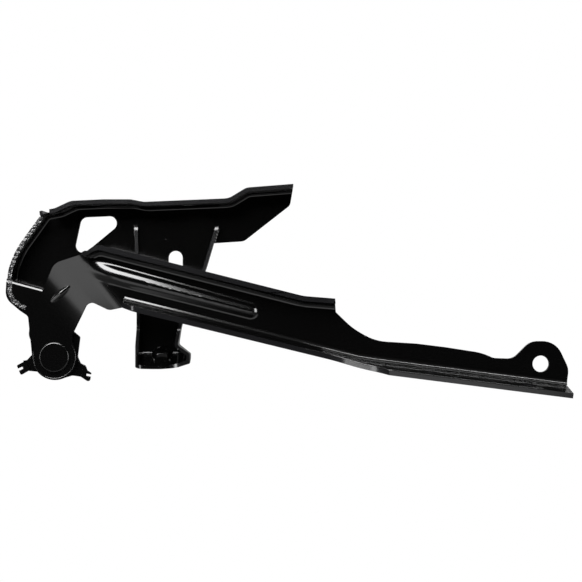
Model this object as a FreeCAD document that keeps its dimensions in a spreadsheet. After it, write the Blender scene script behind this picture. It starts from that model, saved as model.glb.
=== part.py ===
"""Hood hinge of a car: a pressed steel body bracket, its welded support leg, and the long
channel arm that carries the hood, joined by one shouldered rivet.

+X runs along the arm, +Z is up as the hinge is pictured and -Y points at the viewer. The
pieces are drawn about the pivot, whose axis runs along Y through the drawing's origin, with
the arm's eye between Y = -arm_wall and Y = 0. At the end they are all moved together, so that
the part's origin lies between the two body bolts, on the face that meets the body.
"""
import FreeCAD
import Part
import math
import os

SIZES = [
    ("arm_wall", 3.0, "sheet of the arm"),
    ("arm_bend", 4.0, "inside radius of the arm's flange bends"),
    ("arm_fold", 3.0, "inside radius of the knee's first fold"),
    ("arm_fold_high", 4.0, "inside radius of the knee's second fold"),
    ("eye_radius", 12.9, "round end of the arm about the pivot"),
    ("neck_left", -14.6, "left side of the neck"),
    ("neck_right", 9.9, "right side of the neck at its waist"),
    ("knee_top", 61.3, "upper edge of the knee"),
    ("knee_angle", 38.7, "direction square to the knee's folds, from X"),
    ("knee_low", 26.7, "first fold, measured square to the folds"),
    ("knee_high", 51.6, "second fold, measured square to the folds"),
    ("knee_rise", 9.0, "how far the web stands in front of the neck"),
    ("web_top_left", 67.2, "outside of the upper flange at its left end"),
    ("web_left", 27.5, "left end of the upper flange"),
    ("upper_slope", 14.1, "fall of the upper flange, degrees"),
    ("upper_flange_end", 167.5, "right end of the upper flange"),
    ("upper_flange_depth", 12.0, "upper flange in front of the web"),
    ("lower_flange_depth", 11.0, "lower flange in front of the web, near the knee"),
    ("hood_flange_depth", 27.0, "lower flange in front of the web, under the hood"),
    ("flange_tilt", 7.0, "fall of the lower flange towards its front edge, degrees"),
    ("web_bottom_left", 31.0, "outside of the lower flange at its left end, at the web's back"),
    ("lower_left", 41.8, "left end of the lower flange"),
    ("lower_slope", 13.7, "fall of the lower flange, degrees"),
    ("tail_slope", 7.2, "fall of the hood flange, degrees"),
    ("tail_bend", 183.0, "where the lower flange changes its fall"),
    ("arm_reach", 305.0, "pivot to the far end of the arm"),
    ("tail_top", 8.4, "upper edge of the tail past the end of the upper flange"),
    ("lobe_radius", 13.5, "round lobe about the strut hole"),
    ("stud_inset", 15.3, "strut hole in from the far end of the arm"),
    ("stud_hole_z", -3.6, "strut hole from the pivot, up"),
    ("stud_hole", 9.8, "strut hole, diameter"),
    ("bead_half", 6.65, "half width of the stiffening bead at the knee"),
    ("bead_end_half", 5.5, "half width of the bead at its right end"),
    ("bead_base", 1.6, "radius between the bead and the web"),
    ("bead_step", 1.5, "height of the bead where it starts, at the second fold"),
    ("bead_growth", 19.0, "run in which the bead grows to its full height"),
    ("bead_height", 4.6, "stiffening bead in front of the web"),
    ("bead_start_x", 32.0, "axis of the bead at the knee, along"),
    ("bead_start_z", 50.2, "axis of the bead at the knee, up"),
    ("bead_length", 88.5, "knee to the middle of the bead's round end"),
    ("bead_slope", 14.6, "fall of the bead, degrees"),
    ("hood_hole", 9.0, "holes for the hood bolts, diameter"),
    ("hood_hole_inset", 25.0, "second hood bolt in from the far end of the arm"),
    ("hood_hole_pitch", 58.0, "between the hood bolts"),
    ("dart_place", 27.1, "dart across the first fold, from the pivot along the fold"),
    ("dart_reach", 8.0, "dart to each side of the fold"),
    ("dart_round", 2.6, "radius of the dart"),
    ("bracket_wall", 2.5, "sheet of the body bracket"),
    ("bracket_bend", 2.0, "inside radius of the bracket's bends"),
    ("plate_depth", 19.0, "front face of the upper plate behind the pivot plane"),
    ("step_bend", 2.4, "outside radius of the step and of the ear's rim"),
    ("ear_rim", 11.0, "rim on the left of the ear, front to back"),
    ("side_flange_back", 4.6, "front edge of the left flange behind the pivot plane"),
    ("top_flange_reach", 8.0, "front edge of the top flange ahead of the pivot plane"),
    ("step_left_z", 47.3, "step line at the left rim, up"),
    ("step_slope", 15.0, "fall of the step line, degrees"),
    ("ear_radius", 13.9, "bracket ear about the pivot"),
    ("bracket_left", -29.6, "left rim of the bracket"),
    ("bracket_top", 94.2, "top flange over the window, outside"),
    ("lobe_right", 143.0, "right end of the top flange"),
    ("lobe_top", 103.4, "right end of the top flange, outside"),
    ("window_round", 4.4, "corner radius of the window"),
    ("lug_setback", 1.6, "how far the lug ends are set forward"),
    ("notch_width", 1.4, "notch in each lug end"),
    ("body_hole", 9.0, "holes for the body bolts, diameter"),
    ("body_hole_first", 24.0, "first body bolt from the pivot"),
    ("body_hole_pitch", 56.0, "between the body bolts"),
    ("body_hole_depth", 5.0, "body bolts behind the pivot plane"),
    ("leg_wall", 2.0, "sheet of the support leg"),
    ("leg_bend", 1.6, "inside radius of the leg's bends"),
    ("leg_left", 46.3, "left side of the leg"),
    ("leg_top", 85.0, "upper edge of the leg"),
    ("leg_top_right", 97.0, "right corner at the top"),
    ("leg_waist_right", 73.4, "right side just above the foot"),
    ("leg_rim", 6.0, "side flanges of the leg in front of its web"),
    ("foot_right", 80.5, "right side of the foot"),
    ("foot_top", 1.4, "upper face of the foot at the leg"),
    ("foot_tilt", 18.0, "fall of the foot towards its front edge, degrees"),
    ("foot_front", -2.9, "front edge of the foot behind the pivot plane"),
    ("slot_width", 8.6, "slot in the leg"),
    ("slot_length", 15.0, "slot in the leg, overall"),
    ("slot_x", 71.2, "middle of the slot"),
    ("slot_top", 64.1, "upper end of the slot"),
    ("nut_flats", 11.0, "weld nut across flats"),
    ("nut_height", 5.0, "weld nut"),
    ("nut_bore", 5.0, "tapped bore of the weld nut, for a 6 mm thread"),
    ("foot_hole", 6.8, "clearance hole in the foot under the nut"),
    ("nut_x", 63.8, "weld nut from the pivot"),
    ("nut_forward", 7.6, "weld nut in front of the leg, along the foot"),
    ("shoulder", 10.0, "rivet shoulder, diameter"),
    ("tenon", 8.4, "rivet tenon through the ear, diameter"),
    ("head", 17.8, "rivet head, diameter"),
    ("head_height", 1.7, "rivet head"),
    ("tail_head", 13.0, "formed head behind the ear, diameter"),
    ("tail_height", 2.6, "formed head behind the ear"),
    ("bush_wall", 1.0, "wall and collar of the bush"),
    ("bush_collar", 18.0, "collar of the bush, diameter"),
    ("running", 0.05, "clearance of the rivet in the bush, on the radius"),
    ("seat", 0.02, "clearance of the bush in the arm's eye, on the radius"),
    ("washer", 17.0, "washer behind the ear, diameter"),
    ("washer_wall", 1.6, "washer behind the ear"),
]

doc = FreeCAD.newDocument("hood_hinge")
sheet = doc.addObject("Spreadsheet::Sheet", "sizes")
for row, (alias, value, note) in enumerate(SIZES, start=1):
    sheet.set(f"A{row}", alias)
    sheet.set(f"B{row}", str(value))
    sheet.setAlias(f"B{row}", alias)
    sheet.set(f"C{row}", note)
doc.recompute()

V = FreeCAD.Vector
FAR = 400.0          # beyond every edge of the hinge, for cuts that leave a side open


def size(name):
    """A driving size, read from the sheet."""
    return float(sheet.get(name))


# Places that follow from the driving sizes
ear_front = size("bush_wall") + size("running")       # the ear lies just behind the bush collar
ear_back = ear_front + size("bracket_wall")
plate_front = size("plate_depth")
plate_back = plate_front + size("bracket_wall")
web_back = -size("knee_rise")
web_front = web_back - size("arm_wall")


# Plane geometry: a corner is (x, z, radius)
def direction(degrees):
    """Unit vector at an angle from X."""
    return (math.cos(math.radians(degrees)), math.sin(math.radians(degrees)))


def crossing(point_a, along_a, point_b, along_b):
    """Where two lines meet, each given by a point and a direction."""
    det = along_a[0] * -along_b[1] + along_b[0] * along_a[1]
    dx = point_b[0] - point_a[0]
    dz = point_b[1] - point_a[1]
    share = (dx * -along_b[1] + along_b[0] * dz) / det
    return (point_a[0] + along_a[0] * share, point_a[1] + along_a[1] * share)


def toward(start, end):
    """Unit vector from one corner to another."""
    length = math.hypot(end[0] - start[0], end[1] - start[1])
    return ((end[0] - start[0]) / length, (end[1] - start[1]) / length)


def moved_aside(path, distance):
    """A path of corners moved to its right by a distance, its radii following."""
    sides = []
    for start, end in zip(path, path[1:]):
        along = toward(start, end)
        shift = (along[1] * distance, -along[0] * distance)
        sides.append(((start[0] + shift[0], start[1] + shift[1]), along))
    result = [(sides[0][0][0], sides[0][0][1], 0)]
    for index, (before, after) in enumerate(zip(sides, sides[1:]), start=1):
        turn = before[1][0] * after[1][1] - before[1][1] * after[1][0]
        place = crossing(before[0], before[1], after[0], after[1])
        radius = path[index][2]
        if radius:
            radius = max(radius + distance * math.copysign(1, turn), 0.2)
        result.append((place[0], place[1], radius))
    last_point, last_along = sides[-1]
    span = math.hypot(path[-1][0] - path[-2][0], path[-1][1] - path[-2][1])
    result.append((last_point[0] + last_along[0] * span, last_point[1] + last_along[1] * span, 0))
    return result


def rounded(corners):
    """Edges of a closed outline whose corners are rounded by arcs."""
    ends = []
    count = len(corners)
    for index in range(count):
        before = corners[index - 1]
        corner = corners[index]
        after = corners[(index + 1) % count]
        place = V(corner[0], corner[1], 0)
        if not corner[2]:
            ends.append((place, None, place))
            continue
        back = toward(corner, before)
        ahead = toward(corner, after)
        half = math.acos(max(-1, min(1, back[0] * ahead[0] + back[1] * ahead[1]))) / 2
        run = corner[2] / math.tan(half)
        middle = toward((0, 0), (back[0] + ahead[0], back[1] + ahead[1]))
        depth = corner[2] / math.sin(half) - corner[2]
        first = place + V(back[0], back[1], 0) * run
        inner = place + V(middle[0], middle[1], 0) * depth
        ends.append((first, inner, place + V(ahead[0], ahead[1], 0) * run))
    edges = []
    for index, (first, inner, last) in enumerate(ends):
        if inner is not None:
            edges.append(Part.Arc(first, inner, last))
        following = ends[(index + 1) % count][0]
        if (following - last).Length > 1e-6:
            edges.append(Part.LineSegment(last, following))
    return edges


# Features of a body
PLANES = {"front": "XZ_Plane", "top": "XY_Plane", "side": "YZ_Plane"}


def new_body(name):
    return doc.addObject("PartDesign::Body", name)


def sketch_on(body, name, plane, offset, edges, turned=None):
    """A sketch on one of the body's origin planes, moved along the plane's normal."""
    sketch = body.newObject("Sketcher::SketchObject", name)
    origin = [feature for feature in body.Origin.OriginFeatures if feature.Role == PLANES[plane]]
    sketch.AttachmentSupport = [(origin[0], "")]
    sketch.MapMode = "FlatFace"
    turn = turned or FreeCAD.Rotation()
    sketch.AttachmentOffset = FreeCAD.Placement(turn.multVec(V(0, 0, offset)), turn)
    sketch.addGeometry(edges, False)
    return sketch


def front_sketch(body, name, depth, corners):
    """An outline seen from the front, at a depth behind the pivot plane."""
    return sketch_on(body, name, "front", -depth, rounded(corners))


def pad(body, name, sketch, length, formula=None, midplane=False):
    feature = body.newObject("PartDesign::Pad", name)
    feature.Profile = sketch
    feature.Length = length
    feature.Midplane = midplane
    if formula:
        feature.setExpression("Length", formula)
    doc.recompute()
    return feature


def pocket(body, name, sketch, length, forward=False, formula=None):
    """A cut from the sketch towards the back, or towards the viewer. It has to remove something."""
    before = body.Shape.Volume
    feature = body.newObject("PartDesign::Pocket", name)
    feature.Profile = sketch
    feature.Length = length
    feature.Reversed = forward
    if formula:
        feature.setExpression("Length", formula)
    doc.recompute()
    if not body.Shape.Volume < before - 1e-3:
        raise RuntimeError(f"{name} cuts nothing")
    return feature


def fillet(body, name, radius_name, chosen):
    """Rounds the edges that a test chooses."""
    tip = body.Tip
    names = [f"Edge{i}" for i, edge in enumerate(tip.Shape.Edges, start=1) if chosen(edge)]
    if not names:
        raise RuntimeError(f"{name} finds no edge")
    feature = body.newObject("PartDesign::Fillet", name)
    feature.Base = (tip, names)
    feature.setExpression("Radius", radius_name)
    doc.recompute()
    return feature


def at_depth(edge, depth):
    """True for an edge that lies flat at one depth."""
    box = edge.BoundBox
    return abs(box.YMin - depth) < 1e-4 and abs(box.YMax - depth) < 1e-4


def middle_of(edge):
    return edge.valueAt((edge.FirstParameter + edge.LastParameter) / 2)


def signed_gap(point, start, along):
    """Distance of a point to the left of a line in the front view."""
    return along[0] * (point.z - start[1]) - along[1] * (point.x - start[0])


# The body bracket: rim, step line and outline
left = size("bracket_left")
rim = [
    (left + 8.3, 27.8, 0),
    (left - 0.4, 35.2, 9),
    (left + 0.6, 52.5, 26),
    (left + 5.4, 64.8, 45),
    (-8.0, size("bracket_top") - 7.0, 0),
    (1.0, size("bracket_top") - 5.3, 8),
    (10.4, size("bracket_top") - 0.9, 10),
    (30.0, size("bracket_top"), 30),
    (46.0, size("bracket_top"), 8),
    (54.0, size("bracket_top") - 1.5, 8),
    (104.5, size("bracket_top") + 0.6, 10),
    (115.0, size("lobe_top") - 2.2, 8),
    (size("lobe_right"), size("lobe_top"), 0),
]
lobe = [
    (size("lobe_right") - 2.0, 92.0, 4),
    (112.8, 70.0, 6),
    (94.0, 68.8, 0),
    (52.0, 66.5, 8),
    (36.0, 46.0, 8),
    (18.0, 35.0, 6),
]
ear = [
    (10.2, 16.0, 2),
    (size("ear_radius") + 1.0, 12.0, 1.2),
    (size("ear_radius") - 0.4, 1.0, 0),
]
ear_left = [
    (-size("ear_radius"), 0.0, 0),
    (-16.4, 24.5, 3),
]
step_along = direction(-size("step_slope"))
step_start = (left, size("step_left_z"))
rim_side = toward(rim[1], rim[2])
inner_rim = moved_aside(rim, size("bracket_wall"))


def below_step(distance):
    """A point on the step line moved down square to it."""
    return (step_start[0] + step_along[1] * distance, step_start[1] - step_along[0] * distance)


def bracket_outline():
    """The whole outline, the ear closed by an arc about the pivot."""
    corners = rim + lobe + ear
    edges = rounded(corners + ear_left)
    start = V(ear[-1][0], ear[-1][1], 0)
    end = V(ear_left[0][0], ear_left[0][1], 0)
    kept = []
    for edge in edges:
        is_chord = (edge.StartPoint - start).Length < 1e-6 and (edge.EndPoint - end).Length < 1e-6
        kept.append(Part.Arc(start, V(0, -size("ear_radius"), 0), end) if is_chord else edge)
    return kept


def make_body_bracket():
    body = new_body("body_bracket")
    reach = size("top_flange_reach")
    outline = sketch_on(body, "bracket_outline", "front", -plate_back, bracket_outline())
    pad(body, "bracket_blank", outline, plate_back + reach,
        "sizes.plate_depth + sizes.bracket_wall + sizes.top_flange_reach")
    start = crossing(inner_rim[1], rim_side, step_start, step_along)
    last = inner_rim[-1]
    hollow = [(start[0], start[1], 0)] + inner_rim[2:4] + [inner_rim[4][:2] + (3.0,)] + inner_rim[5:-1]
    hollow += [(last[0] + 20, last[1] + 1.5, 0), (FAR, 0, 0)]
    step_end = (step_start[0] + step_along[0] * 90, step_start[1] + step_along[1] * 90, 0)
    hollow += [(step_end[0], -60, 0), step_end]
    pocket(body, "upper_hollow", front_sketch(body, "upper_hollow_outline", -reach, hollow),
           plate_front + reach, formula="sizes.plate_depth + sizes.top_flange_reach")
    out_left = (step_start[0] - step_along[0] * 20, step_start[1] - step_along[1] * 20, 0)
    ear_trim = [out_left, step_end, (step_end[0], -60, 0), (-60, -60, 0)]
    pocket(body, "ear_face", front_sketch(body, "ear_face_outline", -reach, ear_trim),
           ear_front + reach, formula="sizes.top_flange_reach + sizes.bush_wall + sizes.running")
    corner = rim[4]
    side_trim = [out_left, (-60, 120, 0), (corner[0] - 3, 120, 0), (corner[0], corner[1] - 2, 0),
                 (0, 70, 0), step_end]
    pocket(body, "side_flange_edge", front_sketch(body, "side_flange_outline", -reach, side_trim),
           size("side_flange_back") + reach,
           formula="sizes.top_flange_reach + sizes.side_flange_back")
    lower = below_step(size("bracket_wall"))
    lower_left = (lower[0] - step_along[0] * 20, lower[1] - step_along[1] * 20, 0)
    lower_end = (lower[0] + step_along[0] * 95, lower[1] + step_along[1] * 95, 0)
    rim_trim = [lower_left, lower_end, (90, -60, 0), (-60, -60, 0)]
    pocket(body, "ear_rim_edge", front_sketch(body, "ear_rim_outline", plate_back, rim_trim),
           plate_back - ear_front - size("ear_rim"), forward=True,
           formula="sizes.plate_depth + sizes.bracket_wall - sizes.bush_wall - sizes.running - sizes.ear_rim")
    inner_start = crossing(inner_rim[1], rim_side, lower, step_along)
    open_end = toward(rim[1], rim[0])
    hollow = [(inner_start[0], inner_start[1], 0)]
    hollow += [lower_end, (90, -60, 0)]
    hollow += [(-60, -60, 0), (rim[0][0] - open_end[1] * 9, rim[0][1] - 9, 0)]
    hollow += [(inner_rim[0][0], inner_rim[0][1], 0), inner_rim[1]]
    pocket(body, "ear_hollow", front_sketch(body, "ear_hollow_outline", plate_back, hollow),
           plate_back - ear_back, forward=True,
           formula="sizes.plate_depth - sizes.bush_wall - sizes.running")
    add_bracket_bends(body)
    add_lugs(body)
    cut_bracket_openings(body)
    return body


def add_bracket_bends(body):
    """Bends of the rim and of the step: small inside, a sheet's thickness larger outside."""
    def rim_corner(edge, depth, path):
        """An edge at a depth that runs beside the rim above the step."""
        if not at_depth(edge, depth):
            return False
        place = middle_of(edge)
        if signed_gap(place, step_start, step_along) < 0.5:
            return False
        return min(beside(place, a, b) for a, b in zip(path[1:], path[2:])) < 0.6

    def beside(place, start, end):
        along = toward(start, end)
        ahead = along[0] * (place.x - start[0]) + along[1] * (place.z - start[1])
        reach = math.hypot(end[0] - start[0], end[1] - start[1])
        if not -2 < ahead < reach + 2:
            return FAR
        return abs(signed_gap(place, start, along))

    def on_step(edge, depth, distance):
        if not at_depth(edge, depth):
            return False
        return abs(signed_gap(middle_of(edge), below_step(distance), step_along)) < 0.05

    wall = size("bracket_wall")
    fillet(body, "rim_inside", "sizes.bracket_bend", lambda e: rim_corner(e, plate_front, inner_rim))
    fillet(body, "rim_outside", "sizes.bracket_bend + sizes.bracket_wall",
           lambda e: rim_corner(e, plate_back, rim))
    fillet(body, "step_front", "sizes.step_bend", lambda e: on_step(e, ear_front, 0))
    fillet(body, "step_foot", "sizes.step_bend", lambda e: on_step(e, plate_back, wall))


def add_lugs(body):
    """Two stop lugs at the ear: a neck in the ear's plane and an end set forward."""
    radius = size("ear_radius")
    forward = size("lug_setback")
    necks = {
        "left": [(-13.2, 2.2, 0), (-17.0, -1.9, 2), (-19.4, -2.3, 0), (-15.9, -8.4, 0), (-10.5, -8.9, 0), (-6, 0, 0)],
        "right": [(13.2, 0.8, 0), (15.1, -3.9, 2), (18.0, -5.2, 0), (16.6, -12.1, 0), (10.5, -11.2, 2),
                  (5.6, -12.6, 0), (6, 0, 0)],
    }
    ends = {
        "left": [(-18.1, -2.5, 0), (-22.9, -5.0, 0.8), (-20.4, -10.9, 0.8), (-14.9, -7.7, 0)],
        "right": [(16.7, -4.7, 0), (18.5, -5.6, 0), (19.3, -8.0, 0), (21.7, -9.6, 0.6), (20.8, -14.7, 1.0),
                  (19.2, -14.3, 0.8), (15.6, -11.9, 0)],
    }
    notches = {"left": ((-21.9, -7.6), 25.0), "right": ((21.6, -11.2), 168.0)}
    for side in ("left", "right"):
        outline = front_sketch(body, f"{side}_lug_outline", ear_back, necks[side])
        pad(body, f"{side}_lug", outline, size("bracket_wall"), "sizes.bracket_wall")
        outline = front_sketch(body, f"{side}_lug_end_outline", ear_back - forward, ends[side])
        pad(body, f"{side}_lug_end", outline, size("bracket_wall"), "sizes.bracket_wall")
        mouth, heading = notches[side]
        along = direction(heading)
        half = size("notch_width") / 2
        across = (-along[1] * half, along[0] * half)
        deep = 3.0
        slot = [(mouth[0] - along[0] * deep + across[0], mouth[1] - along[1] * deep + across[1], 0),
                (mouth[0] - along[0] * deep - across[0], mouth[1] - along[1] * deep - across[1], 0),
                (mouth[0] + along[0] * deep - across[0], mouth[1] + along[1] * deep - across[1], 0.5),
                (mouth[0] + along[0] * deep + across[0], mouth[1] + along[1] * deep + across[1], 0.5)]
        pocket(body, f"{side}_notch", front_sketch(body, f"{side}_notch_outline", -5.0, slot), radius)


def cut_bracket_openings(body):
    """Window, relief between the flanges, rivet hole and body bolt holes."""
    turn = size("window_round")
    window = [(13.5, 84.6, turn), (43.6, 85.9, turn), (7.3, 55.9, turn)]
    pocket(body, "window", front_sketch(body, "window_outline", plate_front - 4, window), 4 + plate_back)
    corner = rim[4]
    relief = [(corner[0] + 0.8, corner[1] + 2.8, 0), (corner[0] + 2.4, corner[1] - 3.6, 1.2),
              (corner[0] + 5.8, corner[1] - 2.8, 1.2), (corner[0] + 5.6, corner[1] + 3.3, 0)]
    pocket(body, "relief", front_sketch(body, "relief_outline", -20, relief),
           plate_front + 18.0)
    circle = Part.Circle(V(0, 0, 0), V(0, 0, 1), size("tenon") / 2 + size("running"))
    pocket(body, "rivet_hole", sketch_on(body, "rivet_hole_outline", "front", 10, [circle]), 30)
    holes = []
    for index in range(2):
        x = size("body_hole_first") + index * size("body_hole_pitch")
        middle = V(x, size("body_hole_depth"), 0)
        holes.append(Part.Circle(middle, V(0, 0, 1), size("body_hole") / 2))
    level = size("bracket_top") + 6
    pocket(body, "body_holes", sketch_on(body, "body_holes_outline", "top", level, holes), 12)


# The support leg: one folded strip, its two side flanges and the foot
LEG_FOOT_END = -9.0


def make_support_leg():
    web_back_depth = plate_front
    web_depth = web_back_depth - size("leg_wall")
    tilt = math.radians(size("foot_tilt"))
    top = size("foot_top")
    wall = size("leg_wall")
    run = web_depth - size("foot_front")
    front_z = top - run * math.tan(tilt)
    low = wall / math.cos(tilt)
    section = [
        (web_back_depth, 100.0, 0),
        (web_back_depth, top - low - wall * math.tan(tilt), size("leg_bend") + wall),
        (size("foot_front"), front_z - low, 0),
        (size("foot_front"), front_z, 0),
        (web_depth, top, size("leg_bend")),
        (web_depth, 100.0, 0),
    ]
    outline = [
        (size("leg_left"), size("leg_top") - 3, 3),
        (size("leg_left") + 1.6, 24.0, 0),
        (size("leg_left") + 1.6, LEG_FOOT_END, 2.5),
        (size("foot_right"), LEG_FOOT_END + 2.5, 2.5),
        (size("foot_right"), 1.6, 1.5),
        (size("leg_waist_right"), 7.2, 2),
        (size("leg_waist_right") + 2.0, 20.5, 40),
        (size("leg_waist_right") + 16.3, 52.0, 60),
        (size("leg_top_right") + 0.7, 79.0, 4),
        (size("leg_top_right") - 4.6, size("leg_top") + 1.6, 2),
        (size("leg_left") + 2.6, size("leg_top") - 1.0, 3),
    ]
    strip = new_body("leg_strip")
    sketch = sketch_on(strip, "leg_section", "side", 0, rounded(section))
    pad(strip, "leg_fold", sketch, FAR, midplane=True)
    blank = new_body("leg_blank")
    sketch = front_sketch(blank, "leg_outline", plate_back + 10, outline)
    pad(blank, "leg_prism", sketch, 60)
    folded = doc.addObject("Part::Common", "leg_folded")
    folded.Base = strip
    folded.Tool = blank
    left_path = [outline[2][:2] + (0,), outline[1], (size("leg_left"), size("leg_top") - 4.5, 0)]
    right_path = [outline[8][:2] + (0,), outline[7], outline[6], outline[5], outline[4],
                  (size("foot_right"), LEG_FOOT_END, 0)]
    pieces = [folded]
    for name, path in (("left", left_path), ("right", right_path)):
        inner = moved_aside(path, wall)
        body = new_body(f"leg_{name}_flange")
        loop = [path[0][:2] + (0,)] + list(path[1:-1]) + [path[-1][:2] + (0,)]
        loop += [inner[-1][:2] + (0,)] + list(reversed(inner[1:-1])) + [inner[0][:2] + (0,)]
        sketch = front_sketch(body, f"{name}_flange_outline", web_back_depth, loop)
        pad(body, f"{name}_flange_wall", sketch, web_back_depth - size("foot_front"))
        rim_depth = web_depth - size("leg_rim")
        side = [(-FAR, 8.0, 0), (size("foot_front") + 0.5, 1.0, 0), (rim_depth, 17.0, 6),
                (rim_depth + 2.5, 78.0, 10), (web_depth + 0.2, 86.0, 0), (web_depth + 0.2, 120, 0),
                (-FAR, 120, 0)]
        sketch = sketch_on(body, f"{name}_flange_profile", "side", 30, rounded(side))
        pocket(body, f"{name}_flange_front", sketch, 90, forward=True)
        under = [(size("foot_front") - 4, front_z - low + 4 * math.tan(-tilt), 0),
                 (web_back_depth + 2, top - low + (wall + 2) * math.tan(tilt), 0),
                 (web_back_depth + 2, -40, 0), (size("foot_front") - 4, -40, 0)]
        sketch = sketch_on(body, f"{name}_flange_under", "side", 30, rounded(under))
        pocket(body, f"{name}_flange_bottom", sketch, 90, forward=True)
        pieces.append(body)
    fused = doc.addObject("Part::MultiFuse", "leg_fused")
    fused.Shapes = pieces
    half = size("slot_width") / 2
    slot_top = size("slot_top")
    slot_low = slot_top - size("slot_length")
    middle = size("slot_x")
    turn = half - 0.01
    corners = [(middle - half, slot_top, turn), (middle - half, slot_low, turn),
               (middle + half, slot_low, turn), (middle + half, slot_top, turn)]
    slot = new_body("leg_slot_tool")
    pad(slot, "leg_slot", front_sketch(slot, "leg_slot_outline", plate_back + 5, corners), 15)
    seat, axis = nut_seat()
    bore = cylinder("foot_bore", size("foot_hole") / 2, 12, seat, axis)
    cuts = doc.addObject("Part::MultiFuse", "leg_cuts")
    cuts.Shapes = [slot, bore, make_foot_trim()]
    leg = doc.addObject("Part::Cut", "support_leg")
    leg.Base = fused
    leg.Tool = cuts
    return leg


def make_foot_trim():
    """What lies outside the rounded plan of the foot."""
    side = size("leg_left") + 1.6
    end = size("foot_right")
    front = size("foot_front")
    plan = [(side, plate_front, 0), (side, front + 0.7, 5), (side + 14.1, front - 0.3, 12),
            (end - 8.0, front + 2.1, 12), (end, front + 10.9, 4), (end, plate_front, 0),
            (FAR, plate_front, 0), (FAR, -FAR, 0), (-FAR, -FAR, 0), (-FAR, plate_front, 0)]
    body = new_body("foot_trim")
    sketch = sketch_on(body, "foot_plan", "top", size("foot_top") - 20, rounded(plan))
    pad(body, "foot_trim_block", sketch, 34)
    return body


def nut_seat():
    """Middle of the weld nut's seat on the foot, and the foot's upward normal."""
    down = math.radians(size("foot_tilt"))
    forward = size("nut_forward")
    depth = plate_front - size("leg_wall") - forward * math.cos(down)
    height = size("foot_top") - forward * math.sin(down)
    return V(size("nut_x"), depth, height), V(0, -math.sin(down), math.cos(down))


# The hood arm: the folded knee, the flanged channel and the bead
top_fall = math.tan(math.radians(size("upper_slope")))
low_fall = math.tan(math.radians(size("lower_slope")))
tail_fall = math.tan(math.radians(size("tail_slope")))
across_folds = direction(size("knee_angle"))
along_folds = direction(size("knee_angle") - 90)
OUTER_WEB = 1.5      # the channel starts this far past the second fold
TAIL_RUN = 95.2      # the tail's length for which its outline was measured
FLANGE_BEND_ROOM = 9.0      # height of web that is formed together with the lower bend


def knee_place(square, along):
    """A point of the front view given square to the folds and along them."""
    return (across_folds[0] * square + along_folds[0] * along,
            across_folds[1] * square + along_folds[1] * along)


def arc_closed(corners, radius):
    """An outline whose first and last corners are joined by the arc under the pivot."""
    start = V(corners[-1][0], corners[-1][1], 0)
    end = V(corners[0][0], corners[0][1], 0)
    kept = []
    for edge in rounded(corners):
        chord = (edge.StartPoint - start).Length < 1e-6 and (edge.EndPoint - end).Length < 1e-6
        kept.append(Part.Arc(start, V(0, -radius, 0), end) if chord else edge)
    return kept


def make_arm_neck():
    """The neck and the knee: a strip with two folds, kept inside the neck's outline."""
    wall = size("arm_wall")
    low = size("knee_low")
    high = size("knee_high")
    fold = size("arm_fold")
    fold_high = size("arm_fold_high") + wall
    front = [(-80, -wall, 0), (low, -wall, fold), (high, web_front, fold_high), (140, web_front, 0)]
    back = moved_aside(front, -wall)
    strip = new_body("knee_strip")
    turn = FreeCAD.Rotation(V(0, 1, 0), -size("knee_angle"))
    section = rounded(front + list(reversed(back)))
    pad(strip, "knee_fold", sketch_on(strip, "knee_section", "top", 0, section, turn), FAR, midplane=True)
    radius = size("eye_radius")
    neck_left = size("neck_left")
    neck_right = size("neck_right")
    start_x = size("web_left")
    start_z = size("web_top_left")
    top = size("knee_top")
    outline = [
        (-radius, 0, 0),
        (-radius + 1.1, 6.2, 5),
        (neck_left - 0.8, 12.5, 7),
        (neck_left + 0.3, 24.0, 14),
        (0.4, top - 5.1, 8.5),
        (17.2, top, 0),
        (start_x - 2.5, start_z - 1.5, 0),
        (start_x + 4.5, start_z - 9.5, 0),
        (size("lower_left") + 6.0, size("web_bottom_left") + 2.3, 0),
        (size("lower_left") - 1.0, size("web_bottom_left") - 1.4, 0),
        (33.4, size("web_bottom_left") - 2.9, 5),
        (20.9, size("web_bottom_left") + 2.9, 4.5),
        (neck_right, 12.0, 9),
        (radius, 2.6, 6),
        (radius - 0.15, 0, 0),
    ]
    blank = new_body("neck_blank")
    edges = arc_closed(outline, radius)
    pad(blank, "neck_prism", sketch_on(blank, "neck_outline", "front", -20, edges), 60)
    neck = doc.addObject("Part::Common", "arm_neck")
    neck.Base = strip
    neck.Tool = blank
    return neck


def flange_heading():
    """Direction in which the lower flange leaves the web, square to the hood flange's length."""
    fall = math.radians(size("tail_slope"))
    lean = math.radians(size("flange_tilt"))
    return V(-math.sin(fall) * math.sin(lean), -math.cos(lean), -math.cos(fall) * math.sin(lean))


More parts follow.
